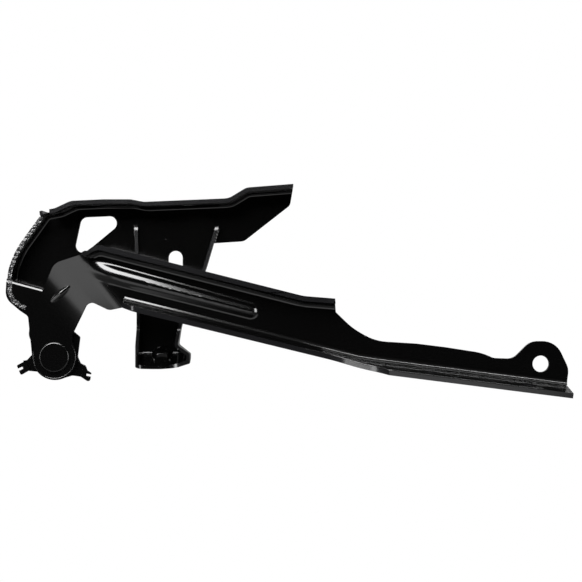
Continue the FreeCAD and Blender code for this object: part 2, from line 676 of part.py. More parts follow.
def add_lower_flange(body, low_path):
    """The leaning lower flange with its bend: one profile carried along the web's lower edge."""
    wall = size("arm_wall")
    bend = size("arm_bend")
    lean = math.radians(size("flange_tilt"))
    fall = math.radians(size("tail_slope"))
    end = low_path[0]
    along = math.cos(fall) * end[0] - math.sin(fall) * end[1]
    level = math.sin(fall) * end[0] + math.cos(fall) * end[1]
    tip = web_front - size("hood_flange_depth") + wall * math.sin(lean)
    tip_level = level - (web_back - tip) * math.tan(lean)
    inner_level = level + wall * (1 - math.sin(lean)) / math.cos(lean)
    profile = [
        (web_back, level + FLANGE_BEND_ROOM, 0),
        (web_back, level, bend + wall),
        (tip, tip_level, 0),
        (tip - wall * math.sin(lean), tip_level + wall * math.cos(lean), 0),
        (web_front, inner_level, bend),
        (web_front, level + FLANGE_BEND_ROOM, 0),
    ]
    turn = FreeCAD.Rotation(V(1, 0, 0), size("tail_slope"))
    section = sketch_on(body, "lower_flange_section", "side", along, rounded(profile), turn)
    course = sketch_on(body, "lower_flange_course", "front", -web_back, rounded(low_path)[:-1])
    flange = body.newObject("PartDesign::AdditivePipe", "lower_flange")
    flange.Profile = section
    flange.Spine = course
    doc.recompute()


def make_arm_channel():
    """The long web with its flanges: an outer block with rounded back edges, hollowed."""
    wall = size("arm_wall")
    start = knee_place(size("knee_high") + OUTER_WEB, 0)
    top_line = toward((17.2, size("knee_top")), (size("web_left"), size("web_top_left")))
    first = crossing(start, along_folds, (17.2, size("knee_top")), top_line)
    top_bend_x = 149.0
    top_bend_z = size("web_top_left") - top_fall * (top_bend_x - size("web_left"))
    top_path = [
        (first[0], first[1], 0),
        (size("web_left"), size("web_top_left"), 9),
        (top_bend_x, top_bend_z, 30),
        (size("upper_flange_end"), top_bend_z - 1.5, 0),
    ]
    bend_z = size("web_bottom_left") - low_fall * (size("tail_bend") - size("lower_left"))
    end_x = size("arm_reach") - 0.3
    end_z = bend_z - tail_fall * (end_x - size("tail_bend"))
    low_path = [
        (end_x, end_z, 0),
        (size("tail_bend"), bend_z, 160),
        (size("lower_left"), size("web_bottom_left"), 0),
    ]
    hole_x = size("arm_reach") - size("stud_inset")
    lobe_top = size("stud_hole_z") + size("lobe_radius")
    lobe_left = hole_x - size("lobe_radius") - 3.0
    tail_top = size("tail_top")
    tail_left = size("upper_flange_end") + 10.5
    stretch = (lobe_left - tail_left) / TAIL_RUN
    end_corner = size("stud_hole_z") - 2.9
    tail = [
        (size("upper_flange_end") + 0.7, top_bend_z - 9.6, 0),
        (tail_left, tail_top + 9.2, 40 * stretch),
        (tail_left + 13.5 * stretch, tail_top + 1.5, 30 * stretch),
        (tail_left + 38.0 * stretch, tail_top, 40 * stretch),
        (tail_left + 55.0 * stretch, tail_top - 2.1, 60 * stretch),
        (tail_left + 77.0 * stretch, tail_top - 5.5, 30 * stretch),
        (tail_left + 83.8 * stretch, tail_top - 8.6, 8 * stretch),
        (lobe_left, tail_top - 9.0, 8 * stretch),
        (hole_x - 6.1, lobe_top - 0.1, 10),
        (hole_x + 8.8, lobe_top, 12),
        (end_x + tail_fall * (end_corner - end_z), end_corner, 10),
    ]
    left_end = crossing(start, along_folds, low_path[2], toward(low_path[1], low_path[2]))
    above_bend = moved_aside(low_path, FLANGE_BEND_ROOM - 1)
    corner = crossing(start, along_folds, above_bend[2], toward(above_bend[1], above_bend[2]))
    outline = top_path + tail + above_bend[:2] + [(corner[0], corner[1], 0)]
    body = new_body("arm_channel")
    reach = size("hood_flange_depth")
    sketch = front_sketch(body, "channel_outline", web_back, outline)
    pad(body, "channel_blank", sketch, wall + reach, "sizes.arm_wall + sizes.hood_flange_depth")
    top_inner = moved_aside(top_path, wall)
    last = top_inner[-1]
    hollow = [(top_inner[0][0] - 6, top_inner[0][1] - 3.2, 0)] + top_inner[1:3]
    hollow += [(last[0] + 8, last[1] - 0.6, 0), (last[0] + 8, 120, 0), (FAR, 120, 0)]
    hollow += [(FAR, -FAR, 0), (left_end[0] - 60, -FAR, 0)]
    deep = front_sketch(body, "channel_hollow_outline", web_front - reach, hollow)
    pocket(body, "channel_hollow", deep, reach, formula="sizes.hood_flange_depth")

    def beside(edge, depth, path):
        if not at_depth(edge, depth):
            return False
        place = middle_of(edge)
        for a, b in zip(path, path[1:]):
            along = toward(a, b)
            ahead = along[0] * (place.x - a[0]) + along[1] * (place.z - a[1])
            span = math.hypot(b[0] - a[0], b[1] - a[1])
            if -2 < ahead < span + 2 and abs(signed_gap(place, a, along)) < 1.6:
                return True
        return False

    fillet(body, "flange_inside", "sizes.arm_bend",
           lambda e: beside(e, web_front, top_inner))
    fillet(body, "flange_outside", "sizes.arm_bend + sizes.arm_wall",
           lambda e: beside(e, web_back, top_path))
    add_lower_flange(body, low_path)
    middle = [(0, 50, 0), (left_end[0] + 4, 46, 0), (size("upper_flange_end") + 3, 12, 0),
              (size("upper_flange_end") + 3, 120, 0), (0, 120, 0)]
    sketch = front_sketch(body, "upper_trim_outline", web_front - reach, middle)
    pocket(body, "upper_trim", sketch, reach - size("upper_flange_depth"),
           formula="sizes.hood_flange_depth - sizes.upper_flange_depth")
    short = web_front - size("lower_flange_depth")
    long = web_front - reach
    wide = size("arm_reach") - 99.0
    plan = [(left_end[0] - 9, web_front - 1, 0), (left_end[0] + 5, short, 6), (wide - 38.0, short, 30),
            (wide, long, 30), (wide, long - 20, 0), (left_end[0] - 9, long - 20, 0)]
    level = size("web_bottom_left") + 8
    sketch = sketch_on(body, "lower_trim_outline", "top", level, rounded(plan))
    pocket(body, "lower_trim", sketch, 60)
    start_x = size("web_left")
    plan = [(first[0] - 12, web_front + 0.5, 0), (first[0] + 1, web_front - 0.5, 3),
            (start_x + 1.5, web_front - size("upper_flange_depth"), 3),
            (start_x + 1.5, long - 20, 0), (first[0] - 12, long - 20, 0)]
    sketch = sketch_on(body, "upper_start_outline", "top", size("web_top_left") + 10, rounded(plan))
    pocket(body, "upper_start", sketch, 14)
    return body


def bump(half_width, inset):
    """Half the bead's profile as (across, depth): a crown arc running tangent into the web.

    With h the height, w the half width and a = 2 atan(h / w), crown and base arc have
    centres w / sin(a) apart, so the two radii add up to that.
    """
    height = size("bead_height")
    base = size("bead_base")
    half_turn = math.atan(height / half_width)
    spread = half_width / math.sin(2 * half_turn)
    centre = web_front - height + spread - base
    crown = spread - base - inset
    foot = base + inset
    return {
        "tip": (0, centre - crown),
        "shoulder": (crown * math.sin(half_turn), centre - crown * math.cos(half_turn)),
        "flank": (crown * math.sin(2 * half_turn), centre - crown * math.cos(2 * half_turn)),
        "bend": (half_width - foot * math.sin(half_turn), web_front - base + foot * math.cos(half_turn)),
        "edge": (half_width, web_front + inset),
        "root": (half_width, web_front + inset + 1.0),
    }


def make_bead_run(name, inset):
    """The bead's long form between two profiles, square to its axis."""
    heading = direction(-size("bead_slope"))
    along = heading[0] * size("bead_start_x") + heading[1] * size("bead_start_z")
    middle = heading[0] * size("bead_start_z") - heading[1] * size("bead_start_x")
    lead = 24.0
    growth = (size("bead_half") - size("bead_end_half")) / size("bead_length")
    sections = ((along - lead, size("bead_half") + growth * lead),
                (along + size("bead_length"), size("bead_end_half")))
    body = new_body(f"{name}_run")
    turn = FreeCAD.Rotation(V(1, 0, 0), size("bead_slope"))
    sketches = []
    for index, (offset, half_width) in enumerate(sections):
        points = bump(half_width, inset)

        def at(key, side):
            return V(points[key][1], middle + side * points[key][0], 0)

        edges = [Part.Arc(at("edge", -1), at("bend", -1), at("flank", -1)),
                 Part.Arc(at("flank", -1), at("tip", 1), at("flank", 1)),
                 Part.Arc(at("flank", 1), at("bend", 1), at("edge", 1)),
                 Part.LineSegment(at("edge", 1), at("root", 1)),
                 Part.LineSegment(at("root", 1), at("root", -1)),
                 Part.LineSegment(at("root", -1), at("edge", -1))]
        sketches.append(sketch_on(body, f"{name}_section_{index + 1}", "side", offset, edges, turn))
    loft = body.newObject("PartDesign::AdditiveLoft", f"{name}_loft")
    loft.Profile = sketches[0]
    loft.Sections = [sketches[1]]
    loft.Ruled = True
    doc.recompute()
    return body


def make_bead_end(name, inset):
    """The bead's round right end: its last profile turned about its middle."""
    points = {key: V(place[0], place[1], 0) for key, place in bump(size("bead_end_half"), inset).items()}
    root_middle = V(0, points["root"].y, 0)
    edges = [Part.Arc(points["tip"], points["shoulder"], points["flank"]),
             Part.Arc(points["flank"], points["bend"], points["edge"]),
             Part.LineSegment(points["edge"], points["root"]),
             Part.LineSegment(points["root"], root_middle),
             Part.LineSegment(root_middle, points["tip"])]
    body = turned(f"{name}_end", edges)
    heading = direction(-size("bead_slope"))
    body.Placement = FreeCAD.Placement(V(size("bead_start_x") + heading[0] * size("bead_length"), 0,
                                         size("bead_start_z") + heading[1] * size("bead_length")),
                                       FreeCAD.Rotation())
    return body


def make_bead(name, inset):
    """The bead's outer form, or its hollow when inset by the sheet. It starts at the second fold."""
    form = doc.addObject("Part::MultiFuse", f"{name}_form")
    form.Shapes = [make_bead_run(name, inset), make_bead_end(name, inset)]
    start = size("knee_high") + inset
    steep = 0.9
    slope = (size("bead_height") - size("bead_step")) / size("bead_growth")
    first = web_front - size("bead_step") + inset / math.cos(math.atan(slope))
    past = size("bead_growth") * 1.4
    back = web_front + inset + 2.0
    profile = [(start, back, 0), (start + steep, first - slope * inset, 0.6),
               (start + steep + past, first - slope * (inset + past), 0),
               (FAR, first - slope * (inset + past), 0), (FAR, back, 0)]
    wedge = new_body(f"{name}_wedge")
    turn = FreeCAD.Rotation(V(0, 1, 0), -size("knee_angle"))
    sketch = sketch_on(wedge, f"{name}_ramp", "top", 0, rounded(profile), turn)
    pad(wedge, f"{name}_ramp_pad", sketch, FAR, midplane=True)
    bead = doc.addObject("Part::Common", name)
    bead.Base = form
    bead.Tool = wedge
    return bead


def make_dart(name, inset):
    """The short dart pressed across the first fold, or its hollow when inset by the sheet."""
    low = size("knee_low")
    reach = size("dart_reach")
    rise = size("knee_rise") / (size("knee_high") - low) * reach
    face = inset - size("arm_wall")
    prism = new_body(f"{name}_prism")
    profile = [(low - reach, face, 0), (low + reach, face - rise, 0), (low, face + 1.0, 0)]
    turn = FreeCAD.Rotation(V(0, 1, 0), -size("knee_angle"))
    sketch = sketch_on(prism, f"{name}_profile", "top", size("dart_place"), rounded(profile), turn)
    pad(prism, f"{name}_pad", sketch, 3 * size("dart_round"), midplane=True)
    place = knee_place(low, -size("dart_place"))
    axis = V(across_folds[0] * reach * 2, -rise, across_folds[1] * reach * 2).normalize()
    round_bar = cylinder(f"{name}_bar", size("dart_round"), 4 * reach,
                         V(place[0], face - rise / 2 + size("dart_round"), place[1]), axis)
    dart = doc.addObject("Part::Common", name)
    dart.Base = prism
    dart.Tool = round_bar
    return dart


def cylinder(name, radius, length, middle, axis):
    """A round hole tool centred on a point."""
    tool = doc.addObject("Part::Cylinder", name)
    tool.Radius = radius
    tool.Height = length
    tool.Placement = FreeCAD.Placement(middle - axis * (length / 2), FreeCAD.Rotation(V(0, 0, 1), axis))
    return tool


def hood_hole_place(index):
    """Middle of a hood bolt hole on the lower face of the hood flange."""
    x = size("arm_reach") - size("hood_hole_inset") - (1 - index) * size("hood_hole_pitch")
    bend_z = size("web_bottom_left") - low_fall * (size("tail_bend") - size("lower_left"))
    depth = web_front - size("arm_bend") - (size("hood_flange_depth") - size("arm_bend")) / 2
    drop = math.tan(math.radians(size("flange_tilt"))) / math.cos(math.radians(size("tail_slope")))
    return V(x, depth, bend_z - tail_fall * (x - size("tail_bend")) - drop * (web_back - depth))


def make_hood_arm():
    blank = doc.addObject("Part::MultiFuse", "arm_blank")
    blank.Shapes = [make_arm_neck(), make_arm_channel(), make_bead("bead", 0), make_dart("dart", 0)]
    tools = [make_bead("bead_hollow", size("arm_wall")), make_dart("dart_hollow", size("arm_wall"))]
    across = V(0, 1, 0)
    eye = size("shoulder") / 2 + size("running") + size("bush_wall") + size("seat")
    tools.append(cylinder("eye_bore", eye, 20, V(0, 0, 0), across))
    middle = V(size("arm_reach") - size("stud_inset"), web_front, size("stud_hole_z"))
    tools.append(cylinder("strut_bore", size("stud_hole") / 2, 20, middle, across))
    fall = math.radians(size("tail_slope"))
    flange_axis = flange_heading().cross(V(math.cos(fall), 0, -math.sin(fall)))
    for index in range(2):
        tools.append(cylinder(f"hood_bore_{index + 1}", size("hood_hole") / 2, 12,
                              hood_hole_place(index), flange_axis))
    cuts = doc.addObject("Part::MultiFuse", "arm_cuts")
    cuts.Shapes = tools
    arm = doc.addObject("Part::Cut", "hood_arm")
    arm.Base = blank
    arm.Tool = cuts
    return arm


def make_foot_weld_nut():
    """A hexagon weld nut standing on the tilted foot, two corners towards the sides."""
    radius = size("nut_flats") / math.sqrt(3)
    hexagon = doc.addObject("Part::Prism", "nut_hexagon")
    hexagon.Polygon = 6
    hexagon.Circumradius = radius
    hexagon.Height = size("nut_height")
    dome = doc.addObject("Part::Cone", "nut_chamfer")
    dome.Radius1 = radius + size("nut_height") * 0.9
    dome.Radius2 = radius - 0.9
    dome.Height = size("nut_height")
    form = doc.addObject("Part::Common", "nut_form")
    form.Base = hexagon
    form.Tool = dome
    bore = doc.addObject("Part::Cylinder", "nut_bore")
    bore.Radius = size("nut_bore") / 2
    bore.Height = size("nut_height") * 3
    bore.Placement = FreeCAD.Placement(V(0, 0, -size("nut_height")), FreeCAD.Rotation())
    nut = doc.addObject("Part::Cut", "foot_weld_nut")
    nut.Base = form
    nut.Tool = bore
    nut.Placement = FreeCAD.Placement(nut_seat()[0], FreeCAD.Rotation(V(1, 0, 0), size("foot_tilt")))
    return nut


# The pivot: revolved about the Y axis from a profile of (radius, depth, corner radius)
def revolved(name, profile):
    return turned(name, rounded(profile))


def turned(name, edges):
    body = new_body(name)
    sketch = sketch_on(body, f"{name}_profile", "top", 0, edges)
    feature = body.newObject("PartDesign::Revolution", f"{name}_turn")
    feature.Profile = sketch
    feature.ReferenceAxis = (sketch, ["V_Axis"])
    feature.Angle = 360
    doc.recompute()
    return body


def make_pivot_rivet():
    under_head = -size("arm_wall") - size("running")
    front = under_head - size("head_height")
    head = size("head") / 2
    shoulder = size("shoulder") / 2
    tenon = size("tenon") / 2
    seat = ear_back + size("washer_wall")
    tail = size("tail_head") / 2
    return revolved("pivot_rivet", [
        (0, front, 0),
        (head, front, 0.7),
        (head, under_head, 0),
        (shoulder, under_head, 0),
        (shoulder, ear_front, 0),
        (tenon, ear_front, 0),
        (tenon, seat, 0),
        (tail, seat, 0),
        (tail - 0.8, seat + size("tail_height"), 1.2),
        (0, seat + size("tail_height"), 0),
    ])


def make_pivot_bush():
    bore = size("shoulder") / 2 + size("running")
    outside = bore + size("bush_wall")
    collar = size("bush_collar") / 2
    return revolved("pivot_bush", [
        (bore, -size("arm_wall"), 0),
        (outside, -size("arm_wall"), 0),
        (outside, 0, 0),
        (collar, 0, 0),
        (collar, size("bush_wall"), 0),
        (bore, size("bush_wall"), 0),
    ])


def make_tail_washer():
    bore = size("tenon") / 2 + size("running")
    outside = size("washer") / 2
    return revolved("tail_washer", [
        (bore, ear_back, 0),
        (outside, ear_back, 0),
        (outside, ear_back + size("washer_wall"), 0.3),
        (bore, ear_back + size("washer_wall"), 0),
    ])


def check_document():
    """Stops if any object of the document failed."""
    bad = [item.Name for item in doc.Objects if "Invalid" in item.State or "Error" in item.State]
    if bad:
        raise RuntimeError("failed objects: " + ", ".join(bad))


pieces = {
    "body_bracket": make_body_bracket(),
    "support_leg": make_support_leg(),
    "foot_weld_nut": make_foot_weld_nut(),
    "hood_arm": make_hood_arm(),
    "pivot_rivet": make_pivot_rivet(),
    "pivot_bush": make_pivot_bush(),
    "tail_washer": make_tail_washer(),
}
doc.recompute()
body_seat = V(size("body_hole_first") + size("body_hole_pitch") / 2, size("body_hole_depth"),
              size("bracket_top"))
for name, piece in pieces.items():
    piece.Label = name
    piece.Placement = FreeCAD.Placement(-body_seat, FreeCAD.Rotation()) * piece.Placement
doc.recompute()
check_document()
for name, piece in pieces.items():
    shape = piece.Shape
    if shape.isNull() or not shape.isValid() or len(shape.Solids) != 1:
        raise RuntimeError(f"{name} is not one valid solid: {len(shape.Solids)}")

os.makedirs("parts", exist_ok=True)
for name, piece in pieces.items():
    piece.Shape.exportStep(f"parts/{name}.step")
    box = piece.Shape.BoundBox
    print(f"{name}: {piece.Shape.Volume / 1000:.2f} cm3, {box.XMin:.1f}..{box.XMax:.1f}, "
          f"{box.YMin:.1f}..{box.YMax:.1f}, {box.ZMin:.1f}..{box.ZMax:.1f}")
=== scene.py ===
# %% [markdown]
# # A hood hinge in gloss black
#
# The object is the hinge of a car's hood: a bracket that bolts to the body, a leg welded to
# it, and a long channel arm that turns on one rivet. All three are pressed from sheet steel
# and then dipped in one black paint, so there is little colour to work with. The whole look
# is in the bends: each one draws a thin line of light, and the flat faces between stay dark.
#
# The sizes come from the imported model, the frame. This lesson dresses it: it rounds the
# sheared edges, sweeps the knee's folds, lays a flatter bead, adds welds and burrs, mixes the
# paint and sets up the studio.

# %% Load the frame
import bmesh
import bpy
import math
import numpy as np
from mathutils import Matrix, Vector
from mathutils.bvhtree import BVHTree


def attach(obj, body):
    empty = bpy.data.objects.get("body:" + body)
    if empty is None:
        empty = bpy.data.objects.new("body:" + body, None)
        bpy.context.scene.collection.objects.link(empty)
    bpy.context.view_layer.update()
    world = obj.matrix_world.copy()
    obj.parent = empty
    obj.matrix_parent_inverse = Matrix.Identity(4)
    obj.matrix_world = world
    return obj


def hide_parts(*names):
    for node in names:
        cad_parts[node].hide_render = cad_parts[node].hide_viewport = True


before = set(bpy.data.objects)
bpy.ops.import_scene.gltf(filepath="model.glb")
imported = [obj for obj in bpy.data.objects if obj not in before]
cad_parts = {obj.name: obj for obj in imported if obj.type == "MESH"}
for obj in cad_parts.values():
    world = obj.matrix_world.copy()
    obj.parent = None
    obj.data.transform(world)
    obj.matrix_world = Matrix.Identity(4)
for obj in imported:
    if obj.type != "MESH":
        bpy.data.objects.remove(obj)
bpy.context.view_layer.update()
MM = 0.001                                  # the frame is in metres, sheet metal in millimetres

# %% [markdown]
# ## Where things are
#
# The frame's origin lies between the two bolts that hold the bracket to the body. Most of
# the hinge is easier to describe from its pivot, so one function turns a place measured
# from the pivot, in millimetres, into the frame's metres. x runs along the arm, z up, and
# the viewer is on the side of negative y.

# %% Places from the pivot
PIVOT = np.array([-52.0, -5.0, -94.2])


def place(points):
    """Points in mm from the pivot, turned into metres in the frame: (p + pivot) / 1000."""
    return (np.asarray(points, float) + PIVOT) * MM


def from_pivot(points):
    """The way back: points of the frame in metres, turned into mm from the pivot."""
    return np.asarray(points, float) / MM - PIVOT


print("pivot at", place([0, 0, 0]))

# %% [markdown]
# ## Two helpers for materials
#
# A colour is written as the hex value that a screen shows, and turned to linear light once.
# A material is a handful of nodes, and one small function adds a node with its settings and
# the links that run into it.

# %% Colour and node helpers


def linear(code):
    """sRGB hex to linear RGBA: c / 12.92 in the dark end, else ((c + 0.055) / 1.055) ** 2.4."""
    srgb = np.array([int(code[i:i + 2], 16) for i in (1, 3, 5)]) / 255
    value = np.where(srgb <= 0.04045, srgb / 12.92, ((srgb + 0.055) / 1.055) ** 2.4)
    return (*value, 1.0)


def add(tree, kind, settings=None, **links):
    """A node of a kind; settings are its properties, links its sockets: a value or an output."""
    node = tree.nodes.new(kind)
    for name, value in (settings or {}).items():
        setattr(node, name, value)
    for name, value in links.items():
        socket = node.inputs[int(name[1:])] if name[1:].isdigit() else node.inputs[name.replace("_", " ")]
        if isinstance(value, bpy.types.NodeSocket):
            tree.links.new(value, socket)
        else:
            socket.default_value = value
    return node


def new_material(name):
    """An empty node material and its output node."""
    material = bpy.data.materials.new(name)
    material.use_nodes = True
    material.node_tree.nodes.clear()
    return material, material.node_tree, material.node_tree.nodes.new("ShaderNodeOutputMaterial")


# %% [markdown]
# ## Black dip paint
#
# The hinge is painted whole, after riveting, by electrocoating: it hangs in a bath and the
# paint is drawn onto every face about 20 micrometres thick. That gives the eye a deep black
# with a clear gloss and a faint orange peel, waves about 2 mm long and less than a
# micrometre high. Paint resin bends light like window glass, so its IOR is 1.5.

# %% The paint on rolled faces
RESIN = 1.5                                 # index of refraction
PEEL = 1.8                                  # mm from crest to crest of the orange peel
RIPPLE = 22.0                               # mm, the slow waves that the press leaves in a flat web


def paint(name, colour, roughness, peel_height, ripple_height):
    """Gloss paint: its bump is fine orange peel over slow press waves, both in Object space."""
    material, tree, output = new_material(name)
    where = add(tree, "ShaderNodeTexCoord").outputs["Object"]
    slow = add(tree, "ShaderNodeTexNoise", Vector=where, Scale=1 / (RIPPLE * MM), Detail=1.0)
    fine = add(tree, "ShaderNodeTexNoise", Vector=where, Scale=1 / (PEEL * MM), Detail=1.0)
    wave = add(tree, "ShaderNodeBump", Height=slow.outputs["Fac"], Strength=1.0,
               Distance=ripple_height * MM)
    skin = add(tree, "ShaderNodeBump", Height=fine.outputs["Fac"], Strength=1.0,
               Distance=peel_height * MM, Normal=wave.outputs["Normal"])
    shader = add(tree, "ShaderNodeBsdfPrincipled", Base_Color=linear(colour), Roughness=roughness,
                 IOR=RESIN, Normal=skin.outputs["Normal"])
    tree.links.new(shader.outputs["BSDF"], output.inputs["Surface"])
    return material


dip_paint = paint("black_electrocoat_on_rolled_steel", "#020202", roughness=0.12,
                  peel_height=0.0006, ripple_height=0.008)
# The bush is sintered bronze soaked in oil: a dull brown, hidden in the joint.
bronze = paint("sintered_bronze_bush", "#7a6038", roughness=0.4, peel_height=0.01, ripple_height=0.0)
print("paint", dip_paint.name)

# %% [markdown]
# ## The same paint on a sheared edge
#
# A punch cuts the first third of the sheet cleanly and tears the rest, so the edge under the
# paint is rough. Each grain catches the light by itself. On a good cut the grains are small
# and low and the edge stays nearly black. A worn punch tears deep lumps, and seen from a step
# away that edge glitters. Real grains are a few tenths of a millimetre wide, finer than a
# point of the picture, so both kinds are drawn coarser than they are.

# %% The paint on sheared edges
GRAIN = 0.9                                 # mm between the grains of a good cut
LUMP = 2.6                                  # mm between the lumps of a badly torn one


def torn_paint(name, colour, depth, grain):
    """The dip paint over torn steel: noise as fine as the grains, and as high as depth in mm."""
    material, tree, output = new_material(name)
    where = add(tree, "ShaderNodeTexCoord").outputs["Object"]
    grains = add(tree, "ShaderNodeTexNoise", Vector=where, Scale=1 / (grain * MM), Detail=2.0,
                 Roughness=0.6)
    torn = add(tree, "ShaderNodeBump", Height=grains.outputs["Fac"], Strength=1.0, Distance=depth * MM)
    shader = add(tree, "ShaderNodeBsdfPrincipled", Base_Color=linear(colour), Roughness=0.2,
                 IOR=RESIN, Normal=torn.outputs["Normal"])
    tree.links.new(shader.outputs["BSDF"], output.inputs["Surface"])
    return material


edge_paint = torn_paint("black_electrocoat_on_sheared_edge", "#060607", 0.012, GRAIN)
glitter_paint = torn_paint("black_electrocoat_on_torn_edge", "#0a0a0b", 1.2, LUMP)
print("edge paint", edge_paint.name)

# %% [markdown]
# ## The pressed sheets
#
# The frame's meshes are loose triangles, one set for each face of the real sheet. A copy is
# welded into one skin, its flat faces are made whole, and a Bevel modifier rounds the sheared
# edges by a few tenths of a millimetre. A Weighted Normal modifier then keeps the flat faces
# flat to the light and lets the shading turn only in the bends.
#
# Which faces are sheared edges? A look from the middle of a face straight into the steel
# answers: through a rolled face the far side is one sheet away, and through an edge it is
# far off.

# %% Dress a sheet
SHARP = math.radians(35)                    # corners sharper than this are rounded
NO_SHEET = 20.0                             # mm; with this wall no face counts as sheared


def look_tree(mesh):
    """A search tree of a mesh's faces, to send looks into."""
    return BVHTree.FromPolygons([v.co for v in mesh.vertices], [p.vertices for p in mesh.polygons])


def smooth(mesh):
    """Lets the shading run on across every face."""
    mesh.polygons.foreach_set("use_smooth", np.ones(len(mesh.polygons), bool))


def welded_copy(name, source):
    """A frame mesh merged into one skin, with its flat faces whole, as a new object."""
    skin = bmesh.new()
    skin.from_mesh(source.data)
    bmesh.ops.remove_doubles(skin, verts=skin.verts, dist=0.002 * MM)
    bmesh.ops.dissolve_limit(skin, angle_limit=math.radians(0.3), verts=skin.verts, edges=skin.edges)
    mesh = bpy.data.meshes.new(name)
    skin.to_mesh(mesh)
    skin.free()
    piece = bpy.data.objects.new(name, mesh)
    bpy.context.scene.collection.objects.link(piece)
    return piece


def far_side(mesh, wall):
    """True for each face that is mostly deeper than 1.5 sheets, looked at from each triangle."""
    tree = look_tree(mesh)
    mesh.calc_loop_triangles()
    deep = np.zeros(len(mesh.polygons))
    whole = np.zeros(len(mesh.polygons))
    for piece in mesh.loop_triangles:
        normal = mesh.polygons[piece.polygon_index].normal
        middle = sum((mesh.vertices[i].co for i in piece.vertices), Vector()) / 3
        hit = tree.ray_cast(middle - normal * (0.01 * MM), -normal)
        whole[piece.polygon_index] += piece.area
        if hit[3] is None or hit[3] > 1.5 * wall * MM:
            deep[piece.polygon_index] += piece.area
    return deep > 0.5 * whole


def dress(name, node, body, wall, rounding=0.25, rough_from=None):
    """Replaces a frame node by its welded, rounded and painted copy.

    The wall is the sheet's thickness and rounding the width of the rounded edge, both in mm.
    Sheared edges left of rough_from, in mm from the pivot, are badly torn.
    """
    piece = welded_copy(name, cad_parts[node])
    mesh = piece.data
    for material in (dip_paint, edge_paint, glitter_paint):
        mesh.materials.append(material)
    sheared = far_side(mesh, wall)
    finish = sheared.astype(np.int32)
    if rough_from is not None:
        across = np.array([from_pivot(face.center)[0] for face in mesh.polygons])
        finish[sheared & (across < rough_from)] = 2
    mesh.polygons.foreach_set("material_index", finish)
    smooth(mesh)
    bevel = piece.modifiers.new("edge_rounding", "BEVEL")
    bevel.width = rounding * MM
    bevel.segments = 2
    bevel.limit_method = "ANGLE"
    bevel.angle_limit = SHARP
    bevel.use_clamp_overlap = True
    normal = piece.modifiers.new("flat_faces_first", "WEIGHTED_NORMAL")
    normal.mode = "FACE_AREA"
    normal.weight = 60
    normal.keep_sharp = False
    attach(piece, body)
    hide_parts(node)
    print(name, len(mesh.polygons), "faces,", int(sheared.sum()), "sheared")
    return piece


bracket = dress("pressed_body_bracket", "body_bracket", "bracket", wall=2.5, rough_from=-8.0)
dress("pressed_support_leg", "support_leg", "bracket", wall=2.0)
arm = dress("pressed_hood_arm", "hood_arm", "arm", wall=3.0, rounding=0.45)
dress("dipped_pivot_rivet", "pivot_rivet", "bracket", NO_SHEET, rounding=0.2)
dress("dipped_weld_nut", "foot_weld_nut", "bracket", NO_SHEET, rounding=0.3)
dress("dipped_tail_washer", "tail_washer", "bracket", NO_SHEET, rounding=0.2)
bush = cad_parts["pivot_bush"].data
bush.materials.clear()
bush.materials.append(bronze)

# %% [markdown]
# ## The knee's soft folds
#
# The knee lifts the arm's web 9 mm in front of its neck, by two folds. In the frame each fold
# is a tight arc. The pressed one is a slow sweep, and it gives the knee its soft gradient.
# The skin is cut every millimetre, along the folds, and each cut is pushed back or forth by
# what a parabola takes off the kink:
# $$e(d) = \pm\frac{m}{4w}\,(w - |d - d_0|)^2$$
# with $m$ the slope of the plateau and $w$ half the width of the sweep.

# %% Soft folds
KNEE = math.radians(38.7)                   # direction square to the folds, from x
FOLD_SQUARE = np.array([math.cos(KNEE), math.sin(KNEE)])
LOW_FOLD = 26.7                             # mm from the pivot, square to the folds
HIGH_FOLD = 51.6
LOW_SWEEP = 13.0                            # mm, half the width of each sweep
HIGH_SWEEP = 5.0
NECK_FRONT = -3.0                           # mm, the front face of the neck, from the pivot
KNEE_RISE = 9.0
KNEE_SLOPE = KNEE_RISE / (HIGH_FOLD - LOW_FOLD)
FOLDS = ((LOW_FOLD, LOW_SWEEP, -1.0), (HIGH_FOLD, HIGH_SWEEP, 1.0))
SLICE = 1.0                                 # mm from cut to cut
SLIVER = 0.12                               # mm; cuts that run closer than this are merged
NEAR_FACE = 0.3                             # mm; a point this close to the front face lies on it


def fold_shift(d):
    """Shift in mm at d from the pivot: way m / (4 w) (w - |d - d0|)^2, summed over the folds."""
    return sum(way * KNEE_SLOPE / (4 * half) * np.maximum(half - np.abs(d - middle), 0) ** 2
               for middle, half, way in FOLDS)


def kinked(d):
    """The arm's front face before the sweeps: neck, straight ramp and web, in mm."""
    return NECK_FRONT - KNEE_SLOPE * np.clip(d - LOW_FOLD, 0, HIGH_FOLD - LOW_FOLD)


def square_to_folds(vertex):
    """How far a vertex lies from the pivot, measured square to the folds, in mm."""
    return from_pivot(vertex.co)[[0, 2]] @ FOLD_SQUARE


